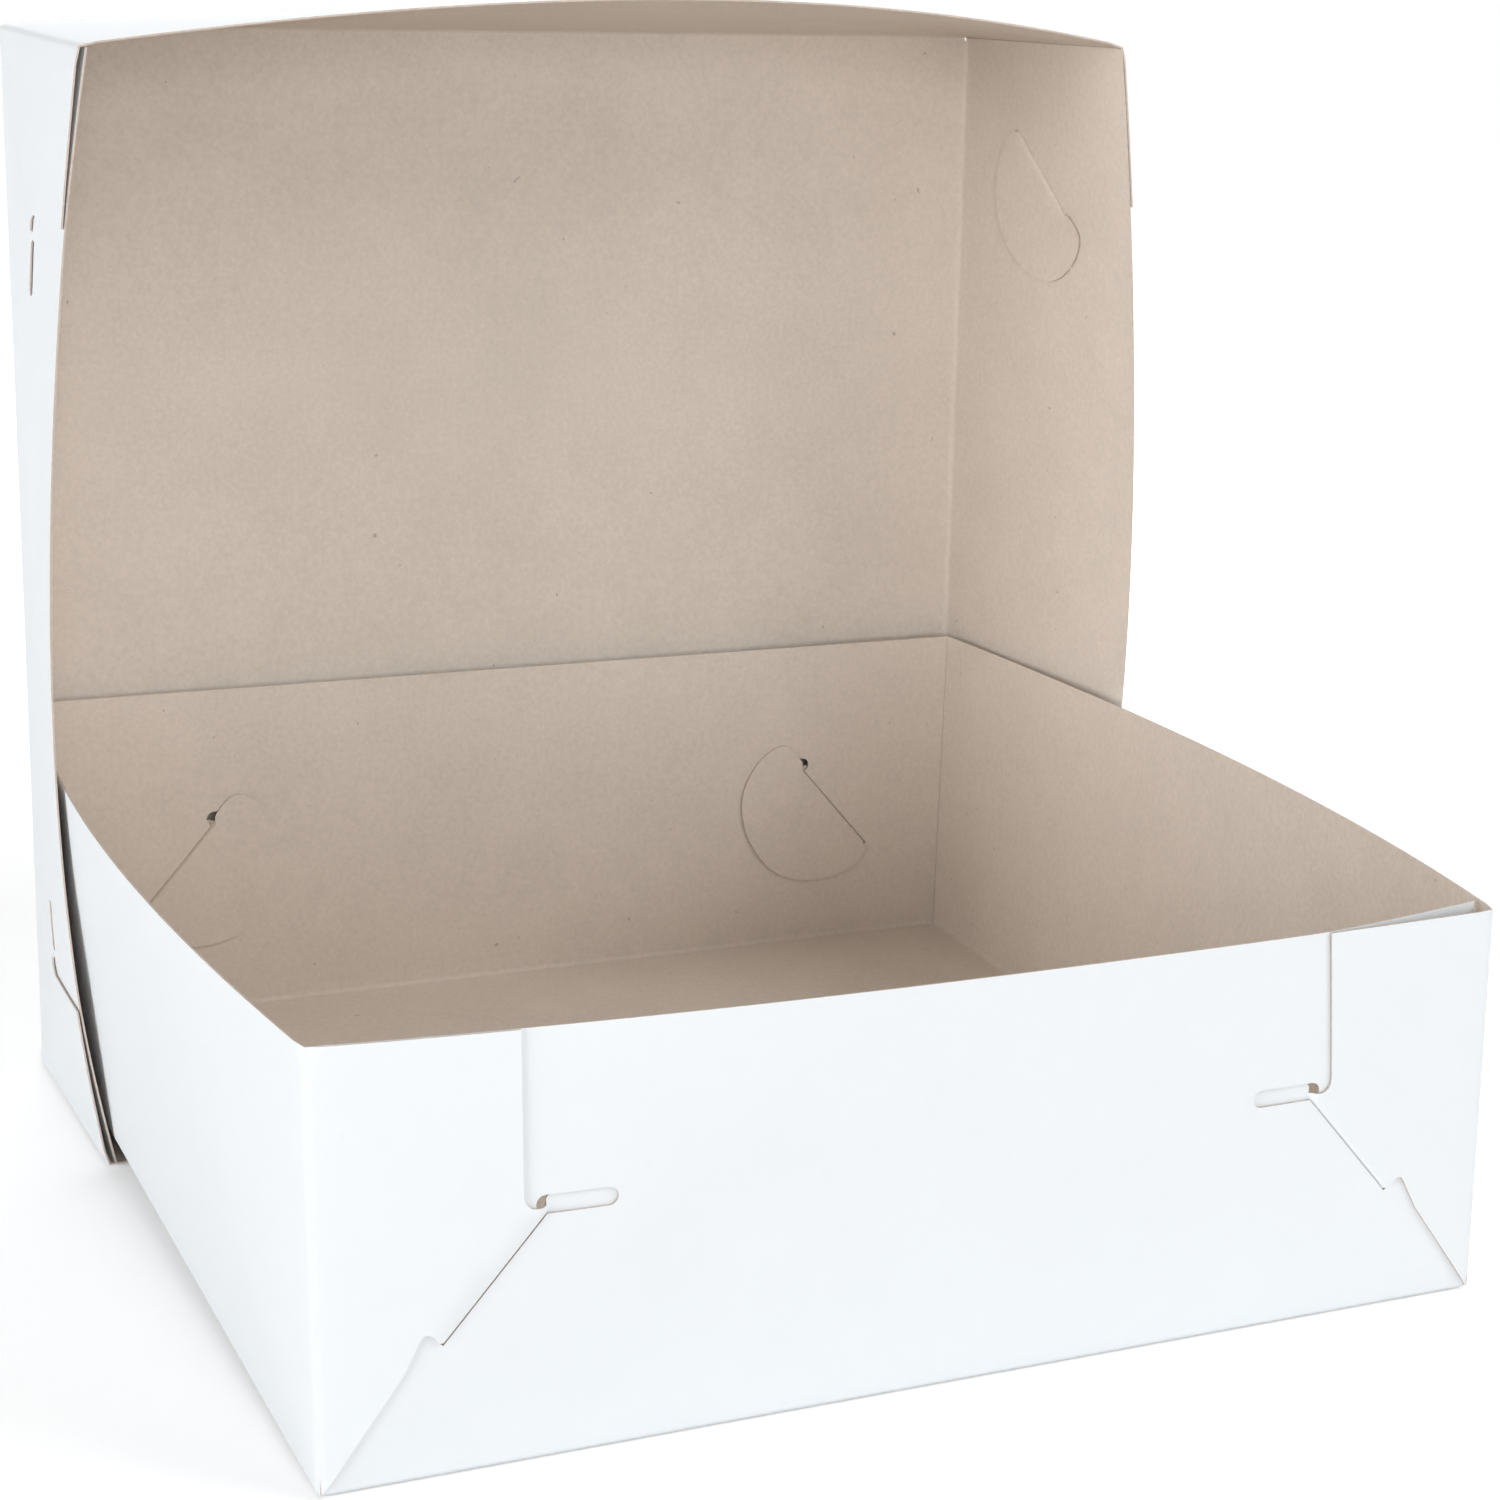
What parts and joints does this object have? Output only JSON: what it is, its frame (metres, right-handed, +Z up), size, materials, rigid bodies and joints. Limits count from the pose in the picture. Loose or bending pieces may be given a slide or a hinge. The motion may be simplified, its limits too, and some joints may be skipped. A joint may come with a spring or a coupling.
{
  "type": "cake box",
  "caption": "Square paperboard cake box: a lock-corner tray with its rear end inside the mouth of the matching cover, which stands upright behind it.",
  "frame": {"origin": "on the table, under the middle of the whole", "axes": "+Z up, +X to the right along the tray's front wall, -Y towards the tray's front, the cover standing at +Y"},
  "size_m": [0.3322, 0.3136, 0.321],
  "materials": {
    "tray_board": "matt white clay coat outside, bare grey-beige recycled board inside",
    "cover_board": "matt white clay coat outside, bare grey-beige recycled board inside"
  },
  "bodies": {
    "root": {"tray": "tray_board", "cover": "cover_board"}
  },
  "joints": []
}
